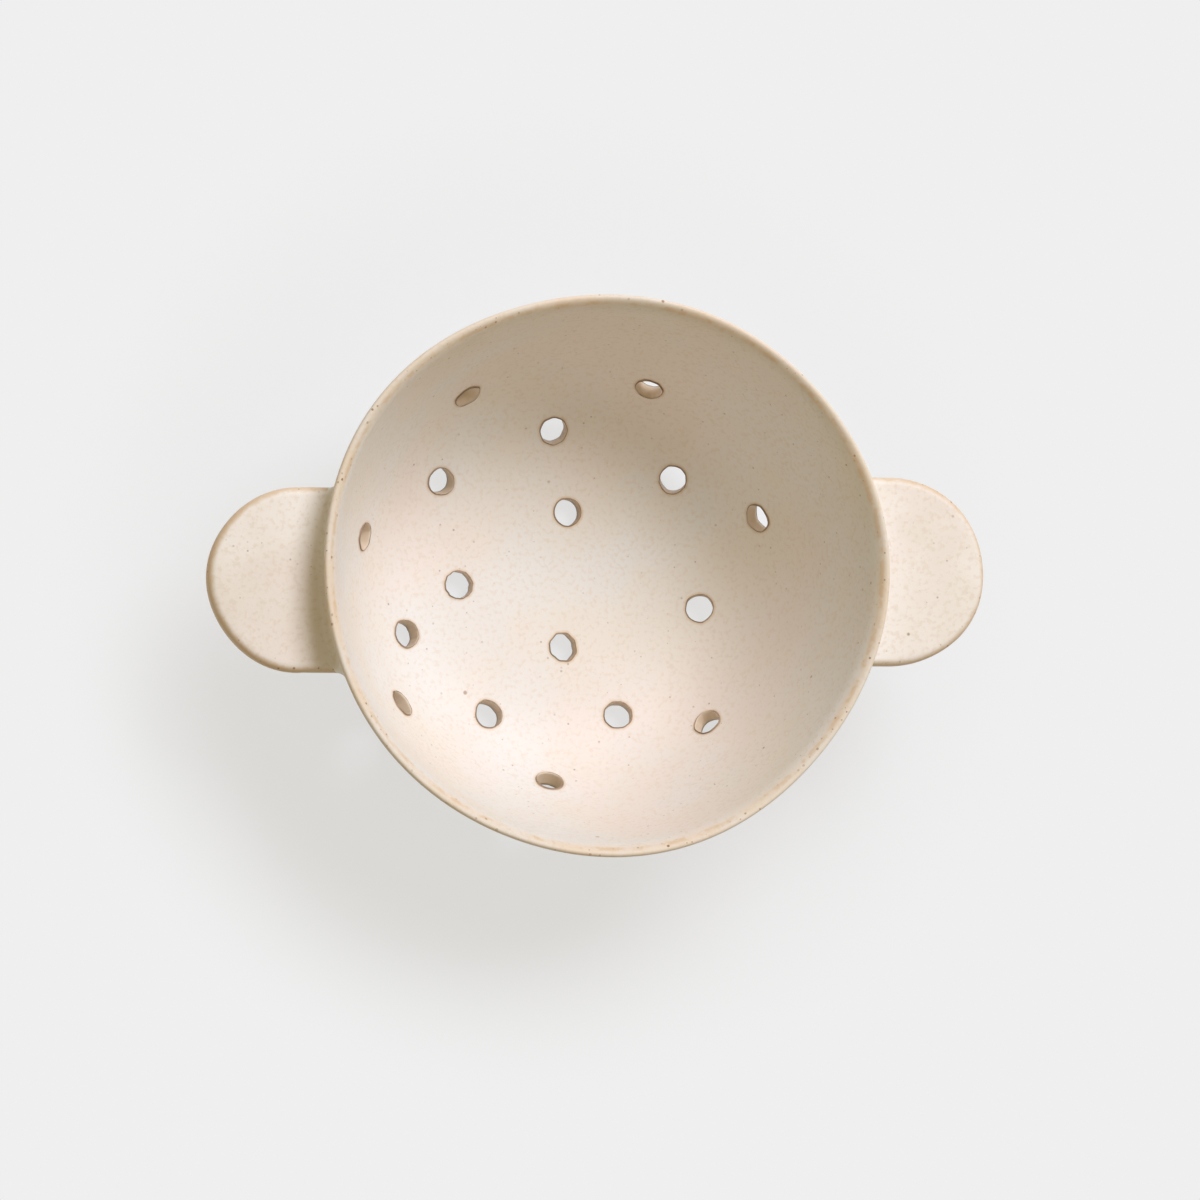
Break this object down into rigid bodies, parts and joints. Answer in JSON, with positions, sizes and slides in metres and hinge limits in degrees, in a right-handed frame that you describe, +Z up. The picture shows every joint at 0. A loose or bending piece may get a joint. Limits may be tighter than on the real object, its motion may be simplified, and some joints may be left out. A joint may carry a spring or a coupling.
{
  "type": "berry colander",
  "caption": "Small round stoneware bowl with punched drain holes in its floor and lower wall, a trimmed foot ring and a half-round tab handle on each side.",
  "frame": {"origin": "on the table under the middle of the foot ring, which is the bottom centre of the object's box", "axes": "+X towards the right handle, +Y towards the top of the picture, +Z up out of the bowl's mouth"},
  "size_m": [0.2, 0.142, 0.066],
  "materials": {
    "glazed_stoneware": "satin oatmeal glaze with fine iron specks, toasted tan where it breaks thin over the lip and the hole edges",
    "handle_stoneware": "satin oatmeal glaze with fine iron specks, toasted tan along the rounded edge",
    "seam_stoneware": "the same glaze pooled slightly thicker over smoothed clay"
  },
  "bodies": {
    "root": {"bowl": "glazed_stoneware", "left_handle": "handle_stoneware", "right_handle": "handle_stoneware", "left_seam_clay": "seam_stoneware", "right_seam_clay": "seam_stoneware"}
  },
  "joints": []
}
